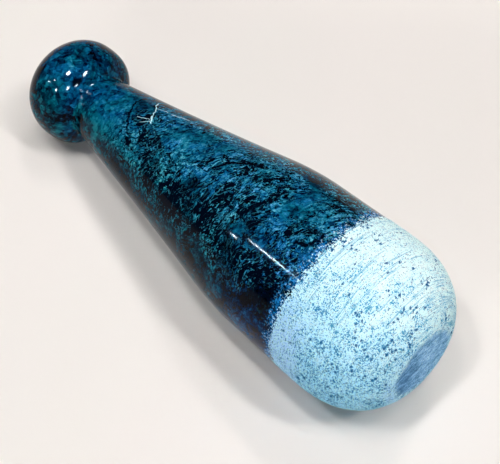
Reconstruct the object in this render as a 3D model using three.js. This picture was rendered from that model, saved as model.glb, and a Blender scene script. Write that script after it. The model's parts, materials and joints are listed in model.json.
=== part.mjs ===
import * as THREE from "three";

// A stone pestle, turned from one block, lying on its side as it does on a table: the shoulder and the knob touch
// the table, and the tip is lifted clear of it. The tip points along +X, and the origin is on the table, in the
// middle under the pestle. Sizes are in millimetres. A station is a distance along the pestle from its tip.

// Driving dimensions
const overallLength = 168;
const tipFlatDiameter = 24.8;
const headDiameter = 55;
const noseLength = 25.3;
const noseFullness = 2.4; // exponent of the nose's superellipse: 2 is an ellipse, and more is squarer
const roughLength = 34; // ground and left unpolished, from the tip
const polishDepth = 0.25; // what the polish took off past the rough end
const polishRun = 1; // length of the small slope where the polish begins
const shoulderStation = 62.1;
const shoulderDiameter = 53;
const shoulderRound = 9; // reach of the rounding on each side of the shoulder
const taperHollow = 0.42; // how far the handle dips below a straight taper
const neckDiameter = 22.6;
const neckFromEnd = 26.7; // where the handle's taper ends, from the end of the knob
const coveRun = 1.8; // length of the tight cove between the neck and the underside of the knob
const coveRise = 0.92; // how far the cove climbs
const knobDiameter = 35.9;
const knobCrown = 14.5; // from the knob's widest place to its end
const knobFullness = 3; // exponent of the superellipse of the knob's underside

// How finely the round stretches are cut
const sidesAround = 64;
const noseSteps = 12;
const undersideSteps = 8;
const curveSteps = 5;

const headRadius = headDiameter / 2;
const tipFlatRadius = tipFlatDiameter / 2;

// The outline is drawn in half section: x is the radius and y is the station.
function outlinePoint(station, radius) {
  return new THREE.Vector2(radius, station);
}

function pointTowards(start, target, distance) {
  const direction = target.clone().sub(start).normalize();
  return start.clone().addScaledVector(direction, distance);
}

function crossingPoint(start, direction, otherStart, otherDirection) {
  const gap = otherStart.clone().sub(start);
  const distance = gap.cross(otherDirection) / direction.cross(otherDirection);
  return start.clone().addScaledVector(direction, distance);
}

// A superellipse dome that is cut off short of its end, drawn from the rim of the cut to its widest place.
function addCutDome(outline, rim, widest, fullness, steps) {
  const depthLeft = (1 - (rim.x / widest.x) ** fullness) ** (1 / fullness);
  for (let step = 1; step <= steps; step += 1) {
    const lengthPart = (step / steps) ** 2;
    const depthPart = depthLeft * (1 - lengthPart);
    const radius = widest.x * (1 - depthPart ** fullness) ** (1 / fullness);
    outline.lineTo(radius, rim.y + (widest.y - rim.y) * lengthPart);
  }
}

// The direction in which that dome leaves the rim.
function cutDomeDirection(rim, widest, fullness) {
  const rimPart = rim.x / widest.x;
  return outlinePoint(rimPart ** (fullness - 1) / widest.x, (1 - rimPart ** fullness) / (widest.y - rim.y));
}

// The nose is a dome cut off by the tip flat.
function addNose(outline) {
  const rim = outlinePoint(0, tipFlatRadius);
  outline.lineTo(rim.x, rim.y);
  addCutDome(outline, rim, outlinePoint(noseLength, headRadius), noseFullness, noseSteps);
}

// The head is straight past the nose, steps down where the polish begins, and narrows a little to the shoulder.
// The handle tapers to the neck in a slightly hollow line. The neck and the taper's direction are returned.
function addHeadAndHandle(outline) {
  const polishStart = outlinePoint(roughLength + polishRun, headRadius - polishDepth);
  const shoulder = outlinePoint(shoulderStation, shoulderDiameter / 2);
  const neck = outlinePoint(overallLength - neckFromEnd, neckDiameter / 2);
  const hollow = shoulder.clone().lerp(neck, 0.5);
  hollow.x -= 2 * taperHollow;
  const roundStart = pointTowards(shoulder, polishStart, shoulderRound);
  const roundEnd = pointTowards(shoulder, hollow, shoulderRound);
  outline.lineTo(headRadius, roughLength);
  outline.lineTo(polishStart.x, polishStart.y);
  outline.lineTo(roundStart.x, roundStart.y);
  outline.quadraticCurveTo(shoulder.x, shoulder.y, roundEnd.x, roundEnd.y);
  outline.quadraticCurveTo(hollow.x, hollow.y, neck.x, neck.y);
  return { neck, taper: neck.clone().sub(hollow) };
}

// The tight cove leaves the taper at the neck and meets the knob's underside, a dome that it cuts off.
// It is tangent to both. Past its widest place the knob is half an ellipse.
function addKnob(outline, neck, taper) {
  const coveEnd = outlinePoint(neck.y + coveRun, neck.x + coveRise);
  const widest = outlinePoint(overallLength - knobCrown, knobDiameter / 2);
  const coveCorner = crossingPoint(neck, taper, coveEnd, cutDomeDirection(coveEnd, widest, knobFullness));
  outline.quadraticCurveTo(coveCorner.x, coveCorner.y, coveEnd.x, coveEnd.y);
  addCutDome(outline, coveEnd, widest, knobFullness, undersideSteps);
  outline.absellipse(0, widest.y, widest.x, knobCrown, 0, Math.PI / 2);
}

function pestleOutline() {
  const outline = new THREE.Path();
  outline.moveTo(0, 0);
  addNose(outline);
  const { neck, taper } = addHeadAndHandle(outline);
  addKnob(outline, neck, taper);
  return outline.getPoints(curveSteps);
}

// Lying down, the pestle rests on the one line that touches both the head and the knob and crosses neither.
function restingSlope(points) {
  const neckStation = overallLength - neckFromEnd;
  const headPoints = points.filter((point) => point.y < neckStation);
  const knobPoints = points.filter((point) => point.y > neckStation);
  const slopesOverHead = knobPoints.map((knob) =>
    Math.max(...headPoints.map((head) => (head.x - knob.x) / (knob.y - head.y))),
  );
  return Math.min(...slopesOverHead);
}

// The turned solid starts half a side round, so that a flat side and not an edge is lowest.
const points = pestleOutline();
const geometry = new THREE.LatheGeometry(points, sidesAround, Math.PI / sidesAround);
const stone = new THREE.MeshStandardMaterial({ color: 0x1c5260, roughness: 0.12, metalness: 0 });
const pestle = new THREE.Mesh(geometry, stone);
pestle.name = "pestle";

// The axis is turned to run along X with the tip at +X, and then tipped to the resting slope.
pestle.rotation.set(0, -Math.atan(restingSlope(points)), Math.PI / 2, "YZX");
const box = new THREE.Box3().setFromObject(pestle, true);
pestle.position.set(-(box.min.x + box.max.x) / 2, 0, -box.min.z);

const model = new THREE.Group();
model.add(pestle);

export default model;
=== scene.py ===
import json
import math
from collections import namedtuple
from types import SimpleNamespace

import bpy
import numpy as np
from mathutils import Matrix, Vector, noise


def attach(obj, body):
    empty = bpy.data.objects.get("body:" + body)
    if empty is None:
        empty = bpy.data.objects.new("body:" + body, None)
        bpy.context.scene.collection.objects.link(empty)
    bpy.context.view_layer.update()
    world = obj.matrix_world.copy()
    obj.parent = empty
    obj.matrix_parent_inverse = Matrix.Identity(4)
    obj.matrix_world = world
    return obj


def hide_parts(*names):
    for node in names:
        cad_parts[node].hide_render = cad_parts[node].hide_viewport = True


# A stone pestle lying on a pale table. Lengths are in metres unless a name ends in MM.
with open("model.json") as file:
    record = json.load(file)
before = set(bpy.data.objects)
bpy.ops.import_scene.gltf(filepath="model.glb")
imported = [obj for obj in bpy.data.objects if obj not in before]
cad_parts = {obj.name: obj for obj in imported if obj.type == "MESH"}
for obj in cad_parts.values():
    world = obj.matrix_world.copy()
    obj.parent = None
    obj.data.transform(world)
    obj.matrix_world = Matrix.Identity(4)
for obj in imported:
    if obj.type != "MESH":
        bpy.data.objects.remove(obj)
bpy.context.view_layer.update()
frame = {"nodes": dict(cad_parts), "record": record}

MM = 0.001
TURN = 2 * math.pi

# The pestle's axis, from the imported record: the centre of the flat on its tip and the way it faces
TIP_MOUNT = next(m for m in frame["record"]["mounts"] if m["name"] == "tip_flat")
TIP = np.array(TIP_MOUNT["pos_m"])
AXIS = np.array(TIP_MOUNT["axis"]) / np.linalg.norm(TIP_MOUNT["axis"])
SIDE = np.array([0.0, 1.0, 0.0])
UPPER = np.cross(AXIS, SIDE)

# Where the polish stops, measured from the tip along the axis
FINISH_STATION = 34 * MM
FINISH_GAP = 4 * MM  # the stretch there where the CAD's own small step is left out of the outline
FINISH_LIP = 0.12 * MM
FINISH_FADE = 0.5 * MM  # over which the relief of the ground end dies away
# How far that edge wanders, by three noises round the axis: strength, waves and a shift of its own
FINISH_WANDER = 0.9 * MM
WANDER_NOISES = (
    (0.9, 1.3, Vector((3.1, 0, 0))),
    (0.5, 9, Vector((0, 5.2, 0))),
    (0.45, 45, Vector((0, 0, 8.4))),
)

# Mesh fineness: columns round the axis, and spacing of the rings along the outline
FINE_COLUMNS = 480
PLAIN_COLUMNS = 240
FINE_STEP = 0.36 * MM
PLAIN_STEP = 2.2 * MM
PLAIN_TURN = math.radians(7)
FLAT_STEP = 0.6 * MM
FRINGE = 4 * MM

# Relief of the ground end. A noise gives its strength and its waves to the mm, and for the rings a place too.
RING_HEIGHT = 0.04 * MM
RING_NOISES = ((1.0, 0.45, (0.5, 2.0)), (0.7, 1.1, (4.5, 7.0)))
RING_DRIFT = 0.25
DRIFT_WAVES = 0.06
GRAIN_HEIGHT = 0.04 * MM
GRAIN_NOISES = ((1.0, 0.7), (0.6, 1.5))
GROOVES = (6.0 * MM, 9.6 * MM, 13.8 * MM, 15.3 * MM, 21.5 * MM, 29.0 * MM)
GROOVE_WIDTH = 0.45 * MM
GROOVE_DEPTH = 0.1 * MM
GROOVE_KEPT = 0.5  # how much of each groove is left on average
GROOVE_WEAR = 0.9
WEAR_WAVES = 0.05
WEAR_SHIFT = Vector((9.0, 0, 0))
PIT_COUNT = 700
PIT_SMALLEST = 0.24 * MM
PIT_SPREAD = 0.35 * MM
PIT_STRETCH = 1.4  # a pit's width round the axis over its width along it
PIT_DEPTH = 0.2 * MM
PIT_CLUSTER = 6.0 * MM
PIT_SHIFT = Vector((3.7, 6.9, 11.5))  # moves the clusters to where the stone is most pitted
PIT_GATHER = 2.2  # how sharply the pits gather into clusters
PIT_GAP = 0.3
PIT_STRAY = 0.03  # the chance of a pit outside the clusters
PIT_SEED = 7

Ring = namedtuple("Ring", "station radius normal_along normal_out columns place")


# The outline of the turned stone
def cad_outline(node):
    """Station and radius of the CAD solid's rings, from the rim of the tip flat to the end of the knob."""
    corners = np.array([v.co for v in node.data.vertices])
    from_tip = corners - TIP
    stations = -from_tip @ AXIS
    radii = np.linalg.norm(from_tip + stations[:, None] * AXIS, axis=1)
    keys = np.round(stations, 5)
    rings = [(s, radii[keys == s].max()) for s in np.unique(keys)]
    return np.array([r for r in rings if abs(r[0] - FINISH_STATION) > FINISH_GAP / 2])


def smooth_outline(rings, samples=12000):
    """Closely spaced points on a smooth curve through the rings, and the length along it at each point."""
    # Two rings mirrored past the axis make the curve cross it squarely
    beyond = rings[-2:-4:-1] * (1, -1)
    points = np.vstack([rings, beyond])
    knots = np.concatenate([[0], np.cumsum(np.linalg.norm(np.diff(points, axis=0), axis=1))])
    slopes = np.empty_like(points)
    slopes[1:-1] = (points[2:] - points[:-2]) / (knots[2:] - knots[:-2])[:, None]
    slopes[0] = (points[1] - points[0]) / knots[1]
    slopes[-1] = slopes[-2]
    places = np.linspace(0, knots[len(rings) - 1], samples)
    cell = np.clip(np.searchsorted(knots, places, side="right") - 1, 0, len(knots) - 2)
    width = (knots[cell + 1] - knots[cell])[:, None]
    t = ((places - knots[cell])[:, None]) / width
    curve = (
        (1 + 2 * t) * (1 - t) ** 2 * points[cell]
        + t * (1 - t) ** 2 * width * slopes[cell]
        + t * t * (3 - 2 * t) * points[cell + 1]
        + t * t * (t - 1) * width * slopes[cell + 1]
    )
    lengths = np.concatenate([[0], np.cumsum(np.linalg.norm(np.diff(curve, axis=0), axis=1))])
    return curve, lengths


def plain_places(curve, lengths, start):
    """Where the rings of the plain stretch go: evenly spaced, and closer together where the outline turns."""
    kept = lengths >= start
    curve, lengths = curve[kept], lengths[kept]
    tangent = np.gradient(curve, lengths, axis=0)
    heading = np.unwrap(np.arctan2(tangent[:, 1], tangent[:, 0]))
    density = 1 / PLAIN_STEP + np.abs(np.gradient(heading, lengths)) / PLAIN_TURN
    counted = np.concatenate([[0], np.cumsum(density[1:] * np.diff(lengths))])
    rings = round(counted[-1])
    return np.interp(np.linspace(0, counted[-1], rings + 1)[1:-1], counted, lengths)


def mesh_rings(curve, lengths):
    """The rings of the mesh, with their normals in the half section and their lengths along the outline."""
    fine_end = np.interp(FINISH_STATION + FRINGE, curve[:, 0], lengths)
    fine_places = np.linspace(0, fine_end, round(fine_end / FINE_STEP))
    places = np.concatenate([fine_places, plain_places(curve, lengths, fine_end)])
    tangent = np.gradient(curve, lengths, axis=0)
    rings = []
    flat_radius = curve[0, 1]
    for radius in np.arange(FLAT_STEP, flat_radius, FLAT_STEP):
        columns = FINE_COLUMNS // 4 if radius < flat_radius / 4 else FINE_COLUMNS // 2
        columns = FINE_COLUMNS if radius > flat_radius / 2 else columns
        rings.append(Ring(0.0, radius, -1.0, 0.0, columns, radius - flat_radius))
    for place in places:
        station, radius = (np.interp(place, lengths, curve[:, k]) for k in (0, 1))
        along, out = (np.interp(place, lengths, tangent[:, k]) for k in (0, 1))
        size = math.hypot(along, out)
        columns = FINE_COLUMNS if place <= fine_end else PLAIN_COLUMNS
        rings.append(Ring(station, radius, -out / size, along / size, columns, place))
    return rings


def finish_edge(angle):
    """How far past its usual place the rough end reaches at an angle round the axis."""
    around = Vector((math.cos(angle), math.sin(angle), 0.0))
    wander = sum(strength * noise.noise(around * waves + shift) for strength, waves, shift in WANDER_NOISES)
    return FINISH_WANDER * wander


def pit_field(rings):
    """Depth of the pits, from 0 to 1, for each ring of the rough end and each fine column."""
    dice = np.random.default_rng(PIT_SEED)
    places = np.array([ring.place for ring in rings])
    radii = np.array([ring.radius for ring in rings])
    angles = np.arange(FINE_COLUMNS) / FINE_COLUMNS * TURN
    depth = np.zeros((len(rings), FINE_COLUMNS))
    made = 0
    while made < PIT_COUNT:
        place = dice.uniform(0, places.max())
        angle = dice.uniform(0, TURN)
        size = PIT_SMALLEST + PIT_SPREAD * dice.random() ** 3
        radius = np.interp(place, places, radii)
        spot = Vector((place, math.cos(angle) * radius, math.sin(angle) * radius)) / PIT_CLUSTER
        if dice.random() > max(noise.noise(spot + PIT_SHIFT) * PIT_GATHER - PIT_GAP, PIT_STRAY):
            continue
        made += 1
        across = (angles - angle + math.pi) % TURN - math.pi
        reach = np.nonzero(np.abs(places - place) < 2 * size)[0]
        near = np.nonzero(np.abs(across) * radius < 2 * size)[0]
        lengthwise = (places[reach][:, None] - place) / size
        crosswise = across[near] * radius / (PIT_STRETCH * size)
        block = np.ix_(reach, near)
        depth[block] = np.maximum(depth[block], np.clip(1 - (lengthwise**2 + crosswise**2), 0, 1))
    return depth


def ground_relief(place, radius, angle, pit):
    """Height of the ground end over its smooth outline: turning rings, grain, grooves, pits and its lip."""
    around = Vector((math.cos(angle) * radius, math.sin(angle) * radius, place)) / MM
    drift = RING_DRIFT * noise.noise(around * DRIFT_WAVES)
    ring = 0.0
    for strength, waves, spot in RING_NOISES:
        ring += strength * noise.noise(Vector((place / MM * waves + drift, *spot)))
    grain = sum(strength * noise.noise(around * waves) for strength, waves in GRAIN_NOISES)
    groove = 0.0
    for groove_place in GROOVES:
        groove += math.exp(-(((place - groove_place) / GROOVE_WIDTH + drift) ** 2))
    kept = GROOVE_KEPT + GROOVE_WEAR * noise.noise(around * WEAR_WAVES + WEAR_SHIFT)
    height = RING_HEIGHT * ring + GRAIN_HEIGHT * grain - GROOVE_DEPTH * groove * kept
    return height - PIT_DEPTH * pit + FINISH_LIP


def turned_points(rings):
    """The points of the surface with its relief, where each ring starts, and what the material reads."""
    points = [TIP.copy()]
    along, edge, pits = [-rings[0].place], [-FINISH_STATION], [0.0]
    starts = []
    rough_rings = [ring for ring in rings if ring.station < FINISH_STATION + FRINGE]
    pit_depth = pit_field(rough_rings)
    edges = [finish_edge(k / FINE_COLUMNS * TURN) for k in range(FINE_COLUMNS)]
    for index, ring in enumerate(rings):
        starts.append(len(points))
        stride = FINE_COLUMNS // ring.columns
        for k in range(ring.columns):
            angle = k / ring.columns * TURN
            out = math.cos(angle) * UPPER + math.sin(angle) * SIDE
            past = ring.station - FINISH_STATION - edges[k * stride]
            lift, pit = 0.0, 0.0
            if index < len(rough_rings):
                rough = min(max(0.5 - past / FINISH_FADE, 0.0), 1.0)
                pit = pit_depth[index, k * stride] * rough
                lift = rough * ground_relief(ring.place, ring.radius, angle, pit)
            forward = -ring.station - lift * ring.normal_along
            points.append(TIP + AXIS * forward + out * (ring.radius + lift * ring.normal_out))
            along.append(ring.place)
            edge.append(past)
            pits.append(pit * MM)
    points.append(TIP - AXIS * knob_end)
    along.append(rings[-1].place)
    edge.append(knob_end - FINISH_STATION)
    pits.append(0.0)
    return points, starts, {"along": along, "edge": edge, "pit": pits}


def turned_faces(rings, starts, pole):
    """The faces between the rings, closed by a fan at the tip and one at the end of the knob."""
    faces = fan(starts[0], rings[0].columns, 0, False)
    for lower, upper, ring, following in zip(starts, starts[1:], rings, rings[1:]):
        faces += band(lower, ring.columns, upper, following.columns)
    return faces + fan(starts[-1], rings[-1].columns, pole, True)


def build_mesh(rings):
    """The turned surface as one closed mesh. Its attributes are in mm, and a pit's depth goes from 0 to 1."""
    points, starts, readings = turned_points(rings)
    mesh = bpy.data.meshes.new("pestle_stone")
    mesh.from_pydata([tuple(p) for p in points], [], turned_faces(rings, starts, len(points) - 1))
    for name, values in readings.items():
        attribute = mesh.attributes.new(name, "FLOAT", "POINT")
        attribute.data.foreach_set("value", np.array(values, np.float32) / np.float32(MM))
    mesh.shade_smooth()
    return mesh


def fan(start, columns, pole, upper):
    """Triangles that close a ring onto a point on the axis."""
    faces = []
    for k in range(columns):
        a, b = start + k, start + (k + 1) % columns
        faces.append((a, b, pole) if upper else (b, a, pole))
    return faces


def band(lower, lower_columns, upper, upper_columns):
    """Faces between two rings. Where one ring has twice the columns, each coarse side meets two fine ones."""
    faces = []
    if lower_columns == upper_columns:
        for k in range(lower_columns):
            n = (k + 1) % lower_columns
            faces.append((lower + k, lower + n, upper + n, upper + k))
        return faces
    fine_low = lower_columns > upper_columns
    coarse, fine = (upper, lower) if fine_low else (lower, upper)
    coarse_columns = min(lower_columns, upper_columns)
    for k in range(coarse_columns):
        a, b = coarse + k, coarse + (k + 1) % coarse_columns
        p, q, r = fine + 2 * k, fine + 2 * k + 1, fine + (2 * k + 2) % (2 * coarse_columns)
        if fine_low:
            faces += [(p, q, a), (q, b, a), (q, r, b)]
        else:
            faces += [(a, q, p), (a, b, q), (b, r, q)]
    return faces


CELL_WEIGHTS = (0.5, 0.3, 0.2)  # how much each channel of a cell's random colour counts


class Nodes:
    """Short ways to add the stone's shader nodes. A value is a number or another node's output."""

    def __init__(self, tree):
        self.tree = tree
        tree.nodes.clear()

    def put(self, socket, value):
        if isinstance(value, bpy.types.NodeSocket):
            self.tree.links.new(value, socket)
        else:
            socket.default_value = value

    def add(self, kind, **settings):
        node = self.tree.nodes.new(kind)
        for name, value in settings.items():
            setattr(node, name, value)
        return node

    def math(self, operation, *values):
        node = self.add("ShaderNodeMath", operation=operation)
        for socket, value in zip(node.inputs, values):
            self.put(socket, value)
        return node.outputs[0]

    def times(self, first, second):
        return self.math("MULTIPLY", first, second)

    def plus(self, base, value, amount):
        """The base with that amount of the value added."""
        return self.math("MULTIPLY_ADD", value, amount, base)

    def vector(self, operation, *values):
        node = self.add("ShaderNodeVectorMath", operation=operation)
        for socket, value in zip(node.inputs, values):
            self.put(socket, value)
        return node.outputs["Value" if operation in ("DOT_PRODUCT", "DISTANCE") else "Vector"]

    def scaled(self, vector, factor):
        node = self.add("ShaderNodeVectorMath", operation="SCALE")
        self.put(node.inputs[0], vector)
        self.put(node.inputs["Scale"], factor)
        return node.outputs["Vector"]

    def moved(self, vector, shift):
        return self.vector("ADD", vector, shift)

    def noise(self, vector, scale, detail=2.0, roughness=0.5, colour=False):
        node = self.add("ShaderNodeTexNoise")
        self.put(node.inputs["Vector"], vector)
        self.put(node.inputs["Scale"], scale)
        self.put(node.inputs["Detail"], detail)
        self.put(node.inputs["Roughness"], roughness)
        return node.outputs["Color" if colour else "Fac"]

    def swing(self, vector, *settings):
        """A noise that swings both ways from 0, up to about a half."""
        return self.math("SUBTRACT", self.noise(vector, *settings), 0.5)

    def warped(self, vector, scale, reach, detail=1.0):
        """The vector moved by a noise of that scale, up to about half the reach each way."""
        shift = self.vector("SUBTRACT", self.noise(vector, scale, detail, colour=True), (0.5, 0.5, 0.5))
        return self.vector("ADD", vector, self.scaled(shift, reach))

    def cells(self, vector, scale):
        """A number from 0 to 1 for each of the uneven cells that fill space."""
        node = self.add("ShaderNodeTexVoronoi", feature="F1")
        self.put(node.inputs["Vector"], vector)
        self.put(node.inputs["Scale"], scale)
        return self.vector("DOT_PRODUCT", node.outputs["Color"], CELL_WEIGHTS)

    def borders(self, vector, scale):
        """How far the place lies from the border of its cell, for the same cells."""
        node = self.add("ShaderNodeTexVoronoi", feature="DISTANCE_TO_EDGE")
        self.put(node.inputs["Vector"], vector)
        self.put(node.inputs["Scale"], scale)
        return node.outputs["Distance"]

    def step(self, value, low, high):
        """0 below low, 1 above high, and a smooth rise between."""
        node = self.add("ShaderNodeMapRange", interpolation_type="SMOOTHSTEP")
        self.put(node.inputs["Value"], value)
        self.put(node.inputs["From Min"], low)
        self.put(node.inputs["From Max"], high)
        return node.outputs["Result"]

    def mix(self, factor, first, second):
        node = self.add("ShaderNodeMix", data_type="RGBA")
        colours = [s for s in node.inputs if s.type == "RGBA"]
        self.put(node.inputs[0], factor)
        self.put(colours[0], first)
        self.put(colours[1], second)
        return next(s for s in node.outputs if s.type == "RGBA")

    def ramp(self, value, stops):
        """The colour between the stops, each a place and a linear colour."""
        node = self.add("ShaderNodeValToRGB")
        self.put(node.inputs["Fac"], value)
        elements = node.color_ramp.elements
        while len(elements) < len(stops):
            elements.new(1.0)
        for element, (position, colour) in zip(elements, stops):
            element.position = position
            element.color = (*colour, 1)
        return node.outputs["Color"]

    def attribute(self, name):
        return self.add("ShaderNodeAttribute", attribute_name=name).outputs["Fac"]


# The layering of the stone: the way across its layers, and the way its streaks run along them
FOLIATION_NORMAL = Vector((0.86, -0.50, 0.10)).normalized()
FOLIATION_STREAK = Vector((0.45, 0.80, 0.40)).normalized()
STREAK_SQUEEZE = (1.0, 0.55, 0.65)


def foliated(nodes, place):
    """The place in the stone's own layering: across the layers, then along the streaks, drawn out."""
    third = FOLIATION_NORMAL.cross(FOLIATION_STREAK).normalized()
    streak = third.cross(FOLIATION_NORMAL)
    joined = nodes.add("ShaderNodeCombineXYZ")
    directions = (FOLIATION_NORMAL, streak, third)
    for socket, direction, squeeze in zip(joined.inputs, directions, STREAK_SQUEEZE):
        nodes.put(socket, nodes.vector("DOT_PRODUCT", place, tuple(direction * squeeze)))
    return joined.outputs[0]


def ringed(nodes, place, along, around):
    """A place for noise drawn out round the axis: length along the outline, and a circle of that radius."""
    from_tip = nodes.vector("SUBTRACT", place, tuple(TIP / MM))
    on_axis = nodes.scaled(tuple(AXIS), nodes.vector("DOT_PRODUCT", from_tip, tuple(AXIS)))
    radial = nodes.vector("NORMALIZE", nodes.vector("SUBTRACT", from_tip, on_axis))
    return nodes.vector("ADD", nodes.scaled(radial, around), nodes.scaled(tuple(AXIS), along))


def stone_point(station, angle):
    """The place on the surface at a station in mm and an angle in degrees round from the top, in mm."""
    radius = np.interp(station * MM, outline[:, 0], outline[:, 1])
    turn = math.radians(angle)
    out = math.cos(turn) * UPPER + math.sin(turn) * SIDE
    return Vector((TIP - AXIS * station * MM + out * radius) / MM)


# How a mark fades, in widths: across from its middle, and along past its end
MARK_SIDE = (0.65, 0.35)
MARK_END = (0.6, -0.3)


def mark(nodes, place, width, stops):
    """1 on a band of that width that runs through the stops in turn, and 0 elsewhere."""
    whole = 0.0
    for start, end in zip(stops, stops[1:]):
        first, last = stone_point(*start), stone_point(*end)
        middle, half = (first + last) / 2, (last - first).length / 2
        to_axis = (Vector(TIP / MM) - middle).cross(Vector(AXIS)).cross(Vector(AXIS))
        across = (last - first).cross(to_axis).normalized()
        offset = nodes.math("SUBTRACT", nodes.vector("DOT_PRODUCT", place, tuple(across)), across.dot(middle))
        beside = nodes.step(nodes.math("ABSOLUTE", offset), *(fade * width for fade in MARK_SIDE))
        away = nodes.vector("DISTANCE", place, tuple(middle))
        within = nodes.step(away, *(half + fade * width for fade in MARK_END))
        whole = nodes.math("MAXIMUM", whole, nodes.times(beside, within))
    return whole


def marks(nodes, place, bands):
    """1 on any of the bands, each given as its width in mm and its stops."""
    whole = 0.0
    for width, stops in bands:
        whole = nodes.math("MAXIMUM", whole, mark(nodes, place, width, stops))
    return whole


# Places are a station in mm and an angle in degrees round from the top.
# Each vein and each seam gives its width in mm and the places that it runs through.
VEINS = (
    (0.28, ((119.6, 32.0), (116.2, 16.5), (112.6, -1.5))),
    (0.44, ((114.6, 5.5), (112.2, -3.0))),
    (0.17, ((118.4, -5.0), (115.8, -1.0), (112.9, 0.3))),
    (0.22, ((110.8, 23.0), (107.6, 26.5), (104.6, 28.5))),
    (0.16, ((117.3, 20.0), (112.5, 24.0))),
    (0.14, ((116.0, -9.0), (113.0, -1.0))),
)
SEAMS = (
    (0.80, ((123.6, 30.0), (124.6, 12.6), (122.7, -2.2), (120.3, -15.3), (117.6, -26.0))),
    (1.30, ((81.2, -7.5), (78.9, 3.6), (71.6, 16.5))),
    (1.90, ((62.4, -23.0), (60.1, -12.3), (57.4, -1.5))),
    (2.20, ((76.2, -63.5), (73.2, -47.5))),
    (2.40, ((46.2, 31.0), (41.8, 31.6), (38.6, 31.0))),
    (1.00, ((106.3, -25.0), (105.6, -14.6), (101.0, -20.5))),
    (1.30, ((119.8, -10.0), (116.8, -6.5))),
    (1.10, ((45.4, -16.5), (47.0, -9.1), (45.6, -5.5))),
    (1.20, ((43.0, -15.0), (38.7, -11.6), (38.2, -5.5))),
    (1.50, ((42.8, -5.5), (39.8, -1.0))),
    (2.00, ((57.6, -24.5), (54.8, -17.5))),
    (2.00, ((46.4, -34.0), (42.6, -41.5))),
)
# Each cloud gives its place, its reach in mm and how much it lightens or darkens the stone. Some of them are
# painted shade and painted highlights, as marked.
CLOUDS_AND_PAINTED_LIGHT = (
    # Painted shade: a dark cloud on the far end of the knob, on its shaded side
    (162.0, -42.0, 6.5, -0.10),
    # Painted highlights: these two pale clouds stand for soft highlights on the end of the knob
    (153.2, 19.0, 2.0, 0.16),
    (153.1, 0.0, 1.8, 0.16),
    (144.5, 40.0, 6.5, -0.02),
    (145.1, -14.0, 2.6, -0.18),
    # Painted glow: a lighter cloud round the highlights on the knob
    (147.5, -20.0, 7.0, 0.06),
    (129.0, -12.0, 14.0, 0.08),
    (116.5, 8.0, 5.5, -0.06),
    (106.0, -16.0, 9.0, -0.03),
    (98.0, 16.0, 13.0, 0.06),
    # Painted shade, partly darker stone: the dark clouds low on the near flank, at angles from -42 to -58,
    # here and below
    (100.0, -44.0, 9.0, -0.09),
    (95.0, -58.0, 7.0, -0.08),
    (86.0, -47.0, 8.5, -0.16),
    (84.0, 12.0, 8.0, 0.04),
    (79.5, -31.0, 7.0, -0.11),
    (72.0, -42.0, 7.5, -0.12),
    (70.5, -18.0, 5.0, -0.11),
    (57.0, 7.0, 7.0, -0.06),
    (61.0, -50.0, 10.0, -0.09),
    (50.0, -2.0, 8.0, 0.07),
    (42.0, -48.0, 13.0, -0.12),
)
CLOUD_CORE = 0.3  # the part of a cloud's reach over which it is whole

# Colours of the polished stone, from its darkest tone to its lightest, and the tints that it is multiplied by
POLISH_TONES = (
    (0.230, (0.0000, 0.0004, 0.002)),
    (0.300, (0.0000, 0.0020, 0.010)),
    (0.412, (0.0000, 0.0200, 0.056)),
    (0.500, (0.0001, 0.0530, 0.118)),
    (0.588, (0.0010, 0.1010, 0.204)),
    (0.714, (0.0120, 0.1850, 0.330)),
    (0.860, (0.1000, 0.4200, 0.580)),
)
GREENISH = (1.0, 1.02, 0.86, 1)
BLUISH = (1.0, 0.90, 1.12, 1)
GREENER = (1.0, 1.13, 0.78, 1)
NAVY = (1.0, 0.82, 1.16, 1)
FLAKE_COLOUR = (0.0000, 0.0016, 0.007, 1)
THREAD_COLOUR = (0.040, 0.29, 0.43, 1)
VEIN_COLOUR = (0.50, 0.82, 0.92, 1)

# Warps of the stone: waves to the mm, how far they reach in mm, and layers of finer waves
SWIRL = (0.045, 9.0)
EDDY = (0.15, 3.5, 2.0)
CRUMPLE = (0.9, 1.0, 2.0)
COBBLE_WARP = (0.22, 2.4, 2.0)
SEAM_WARP = (0.7, 2.2, 3.0)
VEIN_WARP = (0.55, 1.6, 3.0)

# Noises of the stone: waves to the mm, layers of finer waves, and how strong each layer is beside the last
SIDE_NOISE = (0.12, 3.0)
LIVELY_NOISE = (0.06,)
CLOUD_NOISE = (0.10, 3.0, 0.55)
PATCH_NOISE = (0.17, 3.0, 0.65)
BLOTCH_NOISE = (0.30, 2.0, 0.6)
GRAIN_NOISE = (0.9, 2.0, 1.0)
SHARD_NOISE = (0.45, 3.0, 0.65)
SLIVER_NOISE = (0.8, 3.0, 0.65)
TINT_NOISE = (0.12, 4.0, 0.75)
GATHER_NOISE = (0.35, 4.0, 0.8)
DOT_NOISE = (1.9, 1.0, 0.6)
FLAKE_NOISE = (0.5, 3.0, 0.75)

# Shifts that keep noises of the same kind from sharing a pattern
PATCH_SHIFT = (12.0, 70.0, 33.0)
SLIVER_SHIFT = (61.0, 25.0, 14.0)
GATHER_SHIFT = (90.0, 3.0, 8.0)
DOT_SHIFT = (3.0, 51.0, 20.0)
FLAKE_SHIFT = (37.0, 11.0, 5.0)

# Where each mask of the stone begins and where it is whole: stretches in mm past the finish line,
# sides by how far they face along SIDE, and levels of the noise that makes the mask
BODY_REACH = (98.0, 78.0)
HEAD_REACH = (48.0, 30.0)
NAVY_REACH = (34.0, 8.0)
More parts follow.
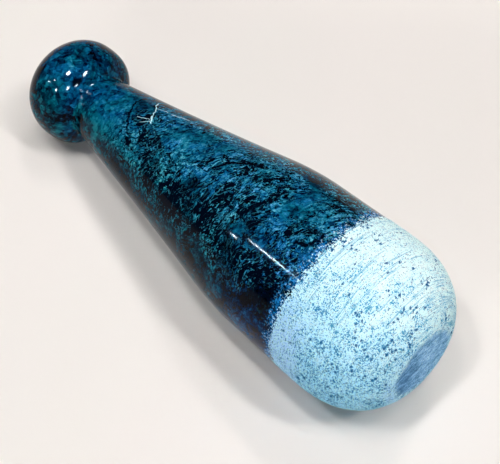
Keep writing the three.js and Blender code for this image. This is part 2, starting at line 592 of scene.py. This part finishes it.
# The painted shade lies on the side that faces away along SIDE
SHADED_SIDE = (-0.93, -0.70)
GREENER_SIDE = (0.28, 0.85)
NAVY_SIDE = (0.0, -0.4)
LIVELY_LEVEL = (0.30, 0.50)
BROKEN_LEVEL = (0.42, 0.60)
SHARD_LEVEL = (0.47, 0.50)
SLIVER_LEVEL = (0.54, 0.57)
TINT_LEVEL = (0.40, 0.60)
DOT_LEVEL = (0.57, 0.63)
DOT_GATHER = (0.58, 0.48)
FLAKE_LEVEL = (0.665, 0.685)
DARK_CELL_LEVEL = (0.29, 0.28)
CRACKED_LEVEL = (0.45, 0.55)
WEB_LEVEL = (0.06, 0.02)
THREAD_GATHER = (0.47, 0.62)

# How much each thing adds to the stone's tone, or to the contrast of its fine breakage
SIDE_WANDER = 0.5
CLOUD_AMOUNT = 0.35
HEAD_PATCHES = 0.07
GRAIN_AMOUNT = 0.95
SHARD_AMOUNT = 0.14
SLIVER_AMOUNT = -0.17
SLIVER_SHARE = 0.25  # how much of the stone the slivers take up
CONTRAST = 0.12
BODY_CONTRAST = 0.20
LIVELY_CONTRAST = 0.38
BROKEN_CONTRAST = 0.95
# How much lighter the stone is painted outside its painted shade
UNSHADED_LIGHTER = 0.045
BROKEN_DARKER = -0.07
BLOTCH_AMOUNT = 0.15
BODY_BLOTCHES = 0.25
COBBLE_AMOUNT = 0.36
MIDDLE_TONE = 0.421
CRACKED_FLAKES = 0.13
WEB_AMOUNT = 0.7

# Cells in the stone: how many to the mm, and what those of the fine breakage and the cobbles add
FINE_CELLS = ((1.2, 0.30), (1.9, 0.42))
COBBLE_CELLS = ((0.55, 1.0), (1.1, 0.8))
COBBLE_MIDDLE = 0.87
DARK_CELLS = 0.6
WEB_CELLS = 0.6
DRAWN_OUT = (1.2, 0.55, 0.8)  # draws the flakes and the web out along the streaks


def clouds_and_painted_light(nodes, place):
    """How much the placed clouds add to the stone's tone, with the painted shade and painted highlights among
    them.
    """
    whole = 0.0
    for station, angle, reach, amount in CLOUDS_AND_PAINTED_LIGHT:
        away = nodes.vector("DISTANCE", place, tuple(stone_point(station, angle)))
        whole = nodes.plus(whole, nodes.step(away, reach, CLOUD_CORE * reach), amount)
    return whole


def stone_fields(nodes, place, edge):
    """What the parts of the stone's colour share: warped places, and how it differs over the pestle, with
    painted shade on the side that faces away along SIDE.
    """
    swirled = nodes.warped(nodes.warped(place, *SWIRL), *EDDY)
    layered = foliated(nodes, nodes.warped(swirled, *CRUMPLE))
    normal = nodes.add("ShaderNodeNewGeometry").outputs["Normal"]
    facing = nodes.vector("DOT_PRODUCT", normal, tuple(SIDE))
    wander = nodes.plus(-SIDE_WANDER / 2, nodes.noise(swirled, *SIDE_NOISE), SIDE_WANDER)
    # Painted shade: darker and calmer on the side that faces away along SIDE
    unshaded = nodes.step(nodes.math("ADD", facing, wander), *SHADED_SIDE)
    body = nodes.step(edge, *BODY_REACH)
    lively = nodes.times(body, nodes.step(nodes.noise(place, *LIVELY_NOISE), *LIVELY_LEVEL))
    lively = nodes.times(lively, unshaded)
    tone = nodes.plus(clouds_and_painted_light(nodes, swirled), nodes.swing(swirled, *CLOUD_NOISE), CLOUD_AMOUNT)
    patches = nodes.noise(nodes.moved(swirled, PATCH_SHIFT), *PATCH_NOISE)
    patches = nodes.plus(patches, nodes.step(edge, *HEAD_REACH), HEAD_PATCHES)
    broken = nodes.step(nodes.plus(patches, tone, -1.0), *BROKEN_LEVEL)
    return SimpleNamespace(
        place=place,
        edge=edge,
        swirled=swirled,
        layered=layered,
        drawn_out=nodes.vector("MULTIPLY", layered, DRAWN_OUT),
        facing=facing,
        unshaded=unshaded,
        body=body,
        lively=lively,
        tone=tone,
        broken=broken,
    )


def fine_breakage(nodes, layered):
    """The grain, the cells, the sharp-edged shards and the dark slivers that the stone is broken into."""
    fine = nodes.times(nodes.swing(layered, *GRAIN_NOISE), GRAIN_AMOUNT)
    for scale, amount in FINE_CELLS:
        fine = nodes.plus(fine, nodes.math("SUBTRACT", nodes.cells(layered, scale), 0.5), amount)
    shards = nodes.step(nodes.noise(layered, *SHARD_NOISE), *SHARD_LEVEL)
    fine = nodes.plus(fine, nodes.math("SUBTRACT", shards, 0.5), SHARD_AMOUNT)
    slivers = nodes.step(nodes.noise(nodes.moved(layered, SLIVER_SHIFT), *SLIVER_NOISE), *SLIVER_LEVEL)
    return nodes.plus(fine, nodes.math("SUBTRACT", slivers, SLIVER_SHARE), SLIVER_AMOUNT)


def cobbles(nodes, stone):
    """The rounder, softer breakage of the neck and the knob."""
    rounded = nodes.warped(stone.place, *COBBLE_WARP)
    whole = 0.0
    for scale, amount in COBBLE_CELLS:
        whole = nodes.plus(whole, nodes.cells(rounded, scale), amount)
    past_body = nodes.step(stone.edge, *reversed(BODY_REACH))
    return nodes.times(nodes.math("SUBTRACT", whole, COBBLE_MIDDLE), past_body)


def stone_tone(nodes, stone):
    """How light the stone is, as a place among its tones, with painted shade on the side that faces away
    along SIDE.
    """
    contrast = nodes.times(stone.lively, nodes.plus(LIVELY_CONTRAST, stone.broken, BROKEN_CONTRAST))
    contrast = nodes.math("ADD", contrast, nodes.plus(CONTRAST, stone.body, BODY_CONTRAST))
    tone = nodes.times(fine_breakage(nodes, stone.layered), contrast)
    tone = nodes.plus(tone, stone.unshaded, UNSHADED_LIGHTER)
    tone = nodes.plus(tone, stone.broken, BROKEN_DARKER)
    tone = nodes.math("ADD", tone, stone.tone)
    blotch_amount = nodes.plus(BLOTCH_AMOUNT, stone.body, BODY_BLOTCHES)
    tone = nodes.plus(tone, nodes.swing(stone.swirled, *BLOTCH_NOISE), blotch_amount)
    tone = nodes.plus(tone, cobbles(nodes, stone), COBBLE_AMOUNT)
    return nodes.math("ADD", tone, MIDDLE_TONE)


def stone_tint(nodes, stone):
    """Greenish here and bluish there, greener on the sides, and navy low on the head."""
    bluish = nodes.step(nodes.noise(stone.swirled, *TINT_NOISE), *TINT_LEVEL)
    tint = nodes.mix(bluish, GREENISH, BLUISH)
    greener = nodes.step(nodes.math("ABSOLUTE", stone.facing), *GREENER_SIDE)
    tint = nodes.mix(greener, tint, GREENER)
    navy = nodes.times(nodes.step(stone.edge, *NAVY_REACH), nodes.step(stone.facing, *NAVY_SIDE))
    return nodes.mix(navy, tint, NAVY)


def black_marks(nodes, stone):
    """1 on the black flakes, on the dark cells of the broken stone and on the placed seams."""
    cracked = nodes.times(stone.broken, stone.lively)
    flakes = nodes.noise(nodes.moved(stone.drawn_out, FLAKE_SHIFT), *FLAKE_NOISE)
    flakes = nodes.plus(flakes, stone.tone, -1.0)
    flakes = nodes.plus(flakes, cracked, CRACKED_FLAKES)
    black = nodes.step(flakes, *FLAKE_LEVEL)
    dark_cells = nodes.step(nodes.cells(stone.layered, DARK_CELLS), *DARK_CELL_LEVEL)
    dark_cells = nodes.times(dark_cells, nodes.step(cracked, *CRACKED_LEVEL))
    black = nodes.math("MAXIMUM", black, dark_cells)
    seams = marks(nodes, nodes.warped(stone.place, *SEAM_WARP), SEAMS)
    return nodes.math("MAXIMUM", black, seams)


def polished_colour(nodes, place, edge):
    """Dark blue-green stone, finely broken, with black flakes and paler threads. Some of it is calmer, and
    the side that faces away along SIDE is painted darker and calmer as painted shade.
    """
    stone = stone_fields(nodes, place, edge)
    colour = nodes.ramp(stone_tone(nodes, stone), POLISH_TONES)
    colour = nodes.vector("MULTIPLY", colour, stone_tint(nodes, stone))
    gather = nodes.noise(nodes.moved(stone.swirled, GATHER_SHIFT), *GATHER_NOISE)
    dots = nodes.step(nodes.noise(nodes.moved(stone.layered, DOT_SHIFT), *DOT_NOISE), *DOT_LEVEL)
    dots = nodes.times(dots, nodes.step(gather, *DOT_GATHER))
    colour = nodes.mix(nodes.times(dots, stone.lively), colour, THREAD_COLOUR)
    colour = nodes.mix(black_marks(nodes, stone), colour, FLAKE_COLOUR)
    web = nodes.step(nodes.borders(stone.drawn_out, WEB_CELLS), *WEB_LEVEL)
    threads = nodes.times(nodes.times(web, WEB_AMOUNT), nodes.step(gather, *THREAD_GATHER))
    colour = nodes.mix(nodes.times(threads, stone.lively), colour, THREAD_COLOUR)
    veins = marks(nodes, nodes.warped(place, *VEIN_WARP), VEINS)
    return nodes.mix(veins, colour, VEIN_COLOUR)


# The ground end's dust, grit and specks are painted lighter on the upper side and darker and bluer below, as
# painted shade
PAINTED_SHADE_UP = (0.0, 0.75, 0.66)
SHADED_DUST = (0.32, 0.74, 1.00, 1)
LIT_DUST = (0.76, 1.00, 1.00, 1)
# The lavender of the painted shade low on the ground end
LAVENDER_SHADE_COLOUR = (0.40, 0.64, 1.00, 1)
SHADED_GRIT = (0.54, 0.98, 1.00, 1)
GRIT_COLOUR = (0.86, 1.00, 1.00, 1)
SHADED_SPECK = (0.02, 0.18, 0.45, 1)
SPECK_COLOUR = (0.07, 0.40, 0.62, 1)
PIT_COLOUR = (0.008, 0.11, 0.28, 1)
FLAT_TONES = (
    (0.38, (0.06, 0.19, 0.41)),
    (0.50, (0.20, 0.47, 0.81)),
    (0.62, (0.46, 0.78, 1.00)),
)

# Noises of the ground end, given as those of the stone. The streaks, the turning lines and the stretches
# where the lines are kept run round the axis, each on a circle of its own radius in mm.
MOTTLE_NOISE = (0.22, 3.0, 0.6)
GRIT_NOISE = (2.3, 1.0, 0.7)
CLUMP_NOISE = (0.9, 2.0, 0.6)
CLUMP_SHIFT = (40.0, 7.0, 3.0)
STREAK_RADIUS = 7.0
STREAK_NOISE = (1.5, 3.0, 0.7)
LINE_RADIUS = 0.8
LINE_NOISE = (1.0, 2.0, 0.7)
KEPT_RADIUS = 3.0
KEPT_NOISE = (0.35, 1.0)
FLAT_NOISE = (0.5, 4.0, 0.95)
FLAT_STRETCH = (1.0, 0.5, 1.0)

# Where each mask of the ground end begins and where it is whole: how far the surface faces up, for its
# painted shade, stretches in mm along the outline, levels of the upper side's mask, and levels of the noise
# that makes the mask
UPPER_SIDE_LEVEL = (-0.7, 1.05)
LOW_SIDE = (0.2, -0.5)
LAVENDER_SHADE_EDGE = (26.0, 34.0)
LAVENDER_SHADE_NOSE = (5.0, 1.0)
FLAT_EDGE = (1.2, -2.4)
TOP_DUST = (0.58, 1.0)
LINE_DUST = (0.15, 0.6)
GRIT_LEVEL = (0.53, 0.60)
SPECK_LEVEL = (0.465, 0.430)
KEPT_LEVEL = (0.40, 0.58)
DARK_LINE = (0.040, 0.008)
BRIGHT_LINE = (0.030, 0.006)
PIT_LEVEL = (0.30, 0.60)

# How much each thing adds to a mask or to the level under which a speck shows
UPPER_SIDE_MOTTLE = 1.5
LOW_MOTTLE = 1.2
LAVENDER_SHADE_AMOUNT = 0.75
SPECK_MOTTLE = 0.30
SPECK_STREAKS = 0.5
SPECK_CLUMPS = 0.45
CLUMP_MIDDLE = 0.47
LAVENDER_SHADE_CLEARS = 0.10
TOP_CLEARS = 0.10
DARK_LINE_MIDDLE = 0.47
DARK_LINE_AMOUNT = 0.65
BRIGHT_LINE_MIDDLE = 0.55
FLAT_LIGHTER = 0.02
FLAT_DARKER_DOWN = -0.012
FLAT_MOTTLE = 4.0
FLAT_NARROWER_DOWN = 0.05
PIT_GRIT = 3.0


def dust_fields(nodes, place, along):
    """What the parts of the ground end's colour share: mottle, grit, how far it faces up for its painted
    shade, and where its lavender painted shade lies.
    """
    mottle = nodes.swing(place, *MOTTLE_NOISE)
    normal = nodes.add("ShaderNodeNewGeometry").outputs["True Normal"]
    facing = nodes.vector("DOT_PRODUCT", normal, PAINTED_SHADE_UP)
    # How far the surface faces up, for the painted shade: lighter above, darker and bluer below
    upper_side = nodes.step(nodes.plus(facing, mottle, UPPER_SIDE_MOTTLE), *UPPER_SIDE_LEVEL)
    low = nodes.step(nodes.plus(facing, mottle, LOW_MOTTLE), *LOW_SIDE)
    # smooth marks a lavender painted shade low on the ground end, which also clears some specks
    smooth = nodes.math("MAXIMUM", nodes.step(along, *LAVENDER_SHADE_EDGE), nodes.step(along, *LAVENDER_SHADE_NOSE))
    return SimpleNamespace(
        place=place,
        along=along,
        mottle=mottle,
        grit=nodes.noise(place, *GRIT_NOISE),
        upper_side=upper_side,
        smooth=nodes.times(smooth, nodes.times(low, LAVENDER_SHADE_AMOUNT)),
        pale=nodes.mix(upper_side, SHADED_GRIT, GRIT_COLOUR),
    )


def specked_dust(nodes, dust):
    """The dust with its pale grit and its fine blue specks, painted lighter above and darker and bluer below
    as painted shade.
    """
    colour = nodes.mix(dust.upper_side, SHADED_DUST, LIT_DUST)
    colour = nodes.mix(dust.smooth, colour, LAVENDER_SHADE_COLOUR)
    colour = nodes.mix(nodes.step(dust.grit, *GRIT_LEVEL), colour, dust.pale)
    streaks = nodes.swing(ringed(nodes, dust.place, dust.along, STREAK_RADIUS), *STREAK_NOISE)
    clumps = nodes.noise(nodes.moved(dust.place, CLUMP_SHIFT), *CLUMP_NOISE)
    level = nodes.plus(dust.grit, dust.mottle, SPECK_MOTTLE)
    level = nodes.plus(level, streaks, SPECK_STREAKS)
    level = nodes.plus(level, nodes.math("SUBTRACT", clumps, CLUMP_MIDDLE), SPECK_CLUMPS)
    level = nodes.plus(level, dust.smooth, LAVENDER_SHADE_CLEARS)
    level = nodes.plus(level, nodes.step(dust.upper_side, *TOP_DUST), TOP_CLEARS)
    speck = nodes.mix(dust.upper_side, SHADED_SPECK, SPECK_COLOUR)
    return nodes.mix(nodes.step(level, *SPECK_LEVEL), colour, speck)


def turning_lines(nodes, dust, colour):
    """The colour with the dark and the bright lines that the turning left, on the side that faces up."""
    turned = nodes.noise(ringed(nodes, dust.place, dust.along, LINE_RADIUS), *LINE_NOISE)
    kept = nodes.noise(ringed(nodes, dust.place, dust.along, KEPT_RADIUS), *KEPT_NOISE)
    kept = nodes.times(nodes.step(kept, *KEPT_LEVEL), nodes.step(dust.upper_side, *LINE_DUST))
    dark = nodes.math("ABSOLUTE", nodes.math("SUBTRACT", turned, DARK_LINE_MIDDLE))
    dark = nodes.times(nodes.step(dark, *DARK_LINE), nodes.times(kept, DARK_LINE_AMOUNT))
    colour = nodes.mix(dark, colour, SPECK_COLOUR)
    bright = nodes.math("ABSOLUTE", nodes.math("SUBTRACT", turned, BRIGHT_LINE_MIDDLE))
    bright = nodes.times(nodes.step(bright, *BRIGHT_LINE), kept)
    return nodes.mix(bright, colour, dust.pale)


def tip_flat(nodes, dust, colour):
    """The colour with the bluer, smeared flat on the tip, darker and narrower on its near side."""
    down = nodes.math("MAXIMUM", nodes.vector("DOT_PRODUCT", dust.place, tuple(-SIDE)), 0.0)
    smear = nodes.noise(nodes.vector("MULTIPLY", dust.place, FLAT_STRETCH), *FLAT_NOISE)
    smear = nodes.plus(nodes.math("ADD", smear, FLAT_LIGHTER), down, FLAT_DARKER_DOWN)
    inset = nodes.plus(nodes.plus(dust.along, dust.mottle, FLAT_MOTTLE), down, FLAT_NARROWER_DOWN)
    return nodes.mix(nodes.step(inset, *FLAT_EDGE), colour, nodes.ramp(smear, FLAT_TONES))


def ground_colour(nodes, place, along, pit):
    """The pale surface left by grinding: white-blue dust with blue specks, dark pits and turning lines."""
    dust = dust_fields(nodes, place, along)
    colour = turning_lines(nodes, dust, specked_dust(nodes, dust))
    colour = tip_flat(nodes, dust, colour)
    hollow = nodes.plus(pit, nodes.math("SUBTRACT", dust.grit, 0.5), PIT_GRIT)
    return nodes.mix(nodes.step(hollow, *PIT_LEVEL), colour, PIT_COLOUR)


# The finish line: dust that drifts past it, flecks of dust beyond it, and a blue film on the polish beside
# it. Reaches are in mm.
FILM_DARK = (0.0, 0.045, 0.155, 1)
FILM_PALE = (0.014, 0.24, 0.64, 1)
CRUMB_NOISE = (1.4, 2.0, 0.6)
CRUMB_REACH = 7.0
DRIFT_NOISE = (0.28, 2.0)
DRIFT_REACH = 3.0
GROUND_EDGE = (0.40, 0.0)
FLECK_NOISE = (1.6, 2.0, 0.6)
FLECK_SHIFT = (5.0, 9.0, 2.0)
FLECK_LEVEL = (0.58, 0.63)
FLECK_REACH = (4.0, 1.0)
FILM_REACH = (4.4, 0.8)
FILM_DRIFTS = (-0.15, 0.03)
FILM_CRUMBS = (-0.05, 0.12)

# The gloss of the polish, the roughness that grinding adds, and the fine bump of the ground end
POLISH_ROUGHNESS = 0.08
GROUND_ROUGHER = 0.77
SPECULAR_LEVEL = 0.05
BUMP_NOISE = (2.5, 4.0, 0.7)
BUMP_STRENGTH = 0.6
BUMP_HEIGHT = 0.15 * MM


def finishes(nodes, place, edge):
    """1 where the stone is ground, 1 where the film lies on the polish, and the film's colour."""
    crumbs = nodes.swing(place, *CRUMB_NOISE)
    drifts = nodes.swing(place, *DRIFT_NOISE)
    dust = nodes.plus(nodes.times(drifts, DRIFT_REACH), crumbs, CRUMB_REACH)
    past = nodes.math("SUBTRACT", edge, dust)
    flecks = nodes.step(nodes.noise(nodes.moved(place, FLECK_SHIFT), *FLECK_NOISE), *FLECK_LEVEL)
    flecks = nodes.times(flecks, nodes.step(past, *FLECK_REACH))
    ground = nodes.math("MAXIMUM", nodes.step(past, *GROUND_EDGE), flecks)
    film = nodes.times(nodes.step(past, *FILM_REACH), nodes.step(drifts, *FILM_DRIFTS))
    film_colour = nodes.mix(nodes.step(crumbs, *FILM_CRUMBS), FILM_DARK, FILM_PALE)
    return ground, film, film_colour


def stone_material():
    """One stone with two finishes, told apart by how far the surface lies past the finish line."""
    material = bpy.data.materials.new("stone")
    material.use_nodes = True
    nodes = Nodes(material.node_tree)
    place = nodes.scaled(nodes.add("ShaderNodeTexCoord").outputs["Object"], 1 / MM)
    pit, edge, along = (nodes.attribute(name) for name in ("pit", "edge", "along"))
    ground, film, film_colour = finishes(nodes, place, edge)
    polish = nodes.mix(film, polished_colour(nodes, place, edge), film_colour)
    colour = nodes.mix(ground, polish, ground_colour(nodes, place, along, pit))
    shader = nodes.add("ShaderNodeBsdfPrincipled")
    nodes.put(shader.inputs["Base Color"], colour)
    nodes.put(shader.inputs["Roughness"], nodes.plus(POLISH_ROUGHNESS, ground, GROUND_ROUGHER))
    nodes.put(shader.inputs["Specular IOR Level"], SPECULAR_LEVEL)
    bump = nodes.add("ShaderNodeBump")
    nodes.put(bump.inputs["Height"], nodes.times(ground, nodes.noise(place, *BUMP_NOISE)))
    nodes.put(bump.inputs["Strength"], BUMP_STRENGTH)
    nodes.put(bump.inputs["Distance"], BUMP_HEIGHT)
    nodes.put(shader.inputs["Normal"], bump.outputs["Normal"])
    output = nodes.add("ShaderNodeOutputMaterial")
    nodes.put(output.inputs["Surface"], shader.outputs["BSDF"])
    return material


def add_pestle():
    stone = bpy.data.objects.new("pestle_stone", build_mesh(mesh_rings(outline, lengths)))
    bpy.context.scene.collection.objects.link(stone)
    stone.data.materials.append(stone_material())
    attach(stone, "root")
    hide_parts("pestle")
    return stone


outline, lengths = smooth_outline(cad_outline(frame["nodes"]["pestle"]))
knob_end = outline[-1, 0]
pestle_stone = add_pestle()


# The stage: a pale floor, small ceiling lamps and a dim room
FLOOR_SIZE = 6.0
FLOOR_COLOUR = (0.81, 0.755, 0.715, 1)
FLOOR_ROUGHNESS = 0.6
ROOM_COLOUR = (1.0, 0.97, 0.94, 1)
ROOM_STRENGTH = 0.06
LAMP_DISTANCE = 2.0
# The soft light on the object: direction to each lamp and its power in watts
SOFT_RADIUS = 0.08
SOFT_LAMPS = (
    ((0.165, -0.121, 0.979), 6.0),
    ((0.477, 0.183, 0.860), 10.2),
    ((-0.113, -0.332, 0.937), 9.4),
    ((-0.085, -0.140, 0.987), 6.8),
    ((0.299, 0.163, 0.940), 4.2),
    ((-0.144, 0.420, 0.896), 6.3),
    ((0.250, -0.880, 0.400), 6.8),
)
# The small bluish ceiling lamps that only the polish shows: direction, half length along the pestle,
# half width and power in watts
SPARK_COLOUR = (0.70, 0.95, 1.10)
SPARK_LAMPS = (
    ((-0.160, -0.185, 0.970), 0.26, 0.16, 170.0),
    ((0.682, 0.278, 0.676), 0.28, 0.15, 180.0),
    ((0.584, -0.453, 0.673), 0.22, 0.12, 100.0),
    ((0.871, -0.106, 0.480), 0.12, 0.10, 45.0),
    ((-0.518, -0.550, 0.656), 0.08, 0.007, 7.0),
    ((-0.136, -0.777, 0.615), 0.12, 0.10, 45.0),
    ((-0.630, -0.600, 0.492), 0.05, 0.02, 6.0),
)


def floor_material():
    material = bpy.data.materials.new("floor")
    material.use_nodes = True
    shader = material.node_tree.nodes["Principled BSDF"]
    shader.inputs["Base Color"].default_value = FLOOR_COLOUR
    shader.inputs["Roughness"].default_value = FLOOR_ROUGHNESS
    shader.inputs["Specular IOR Level"].default_value = 0.0
    return material


def add_floor(height):
    mesh = bpy.data.meshes.new("floor")
    half = FLOOR_SIZE / 2
    corners = [(-half, -half, 0), (half, -half, 0), (half, half, 0), (-half, half, 0)]
    mesh.from_pydata(corners, [], [(0, 1, 2, 3)])
    floor = bpy.data.objects.new("floor", mesh)
    floor.location.z = height
    floor.data.materials.append(floor_material())
    bpy.context.scene.collection.objects.link(floor)


def add_lamp(name, direction, half_length, half_width, power):
    """An oval lamp that faces the object, its length as near along the pestle as it can be."""
    light = bpy.data.lights.new(name, "AREA")
    light.shape = "ELLIPSE"
    light.size = 2 * half_length
    light.size_y = 2 * half_width
    light.energy = power
    lamp = bpy.data.objects.new(name, light)
    back = Vector(direction).normalized()
    across = back.cross(Vector(AXIS)).normalized()
    lamp.rotation_euler = Matrix((across.cross(back), across, back)).transposed().to_euler()
    lamp.location = back * LAMP_DISTANCE
    bpy.context.scene.collection.objects.link(lamp)
    return lamp


def add_lamps():
    for direction, power in SOFT_LAMPS:
        lamp = add_lamp("soft_lamp", direction, SOFT_RADIUS, SOFT_RADIUS, power)
        lamp.visible_glossy = False
    for settings in SPARK_LAMPS:
        lamp = add_lamp("spark_lamp", *settings)
        lamp.data.color = SPARK_COLOUR
        lamp.visible_diffuse = False


def add_room():
    world = bpy.data.worlds.new("room")
    world.use_nodes = True
    background = world.node_tree.nodes["Background"]
    background.inputs["Color"].default_value = ROOM_COLOUR
    background.inputs["Strength"].default_value = ROOM_STRENGTH
    bpy.context.scene.world = world


# The camera, in the photograph's place: what it aims at, how far off it is and which way it looks
CAMERA_AIM = Vector((3.86 * MM, 9.38 * MM, 0.0))
CAMERA_DISTANCE = 401.74 * MM
CAMERA_HEADING = math.radians(-45.30)
CAMERA_PITCH = math.radians(58.68)
CAMERA_LENS_MM = 86.4
CAMERA_SENSOR_MM = 36.0
CAMERA_NEAR = 0.01


def add_camera():
    data = bpy.data.cameras.new("camera")
    data.lens = CAMERA_LENS_MM
    data.sensor_width = CAMERA_SENSOR_MM
    data.sensor_fit = "HORIZONTAL"
    data.clip_start = CAMERA_NEAR
    camera = bpy.data.objects.new("camera", data)
    level = math.cos(CAMERA_PITCH)
    look_x, look_y = math.sin(CAMERA_HEADING) * level, math.cos(CAMERA_HEADING) * level
    look = Vector((look_x, look_y, -math.sin(CAMERA_PITCH)))
    camera.location = CAMERA_AIM - look * CAMERA_DISTANCE
    camera.rotation_euler = look.to_track_quat("-Z", "Y").to_euler()
    bpy.context.scene.collection.objects.link(camera)
    bpy.context.scene.camera = camera


add_floor(min(v.co.z for v in pestle_stone.data.vertices))
add_lamps()
add_room()
add_camera()
bpy.context.scene.view_settings.view_transform = "Standard"
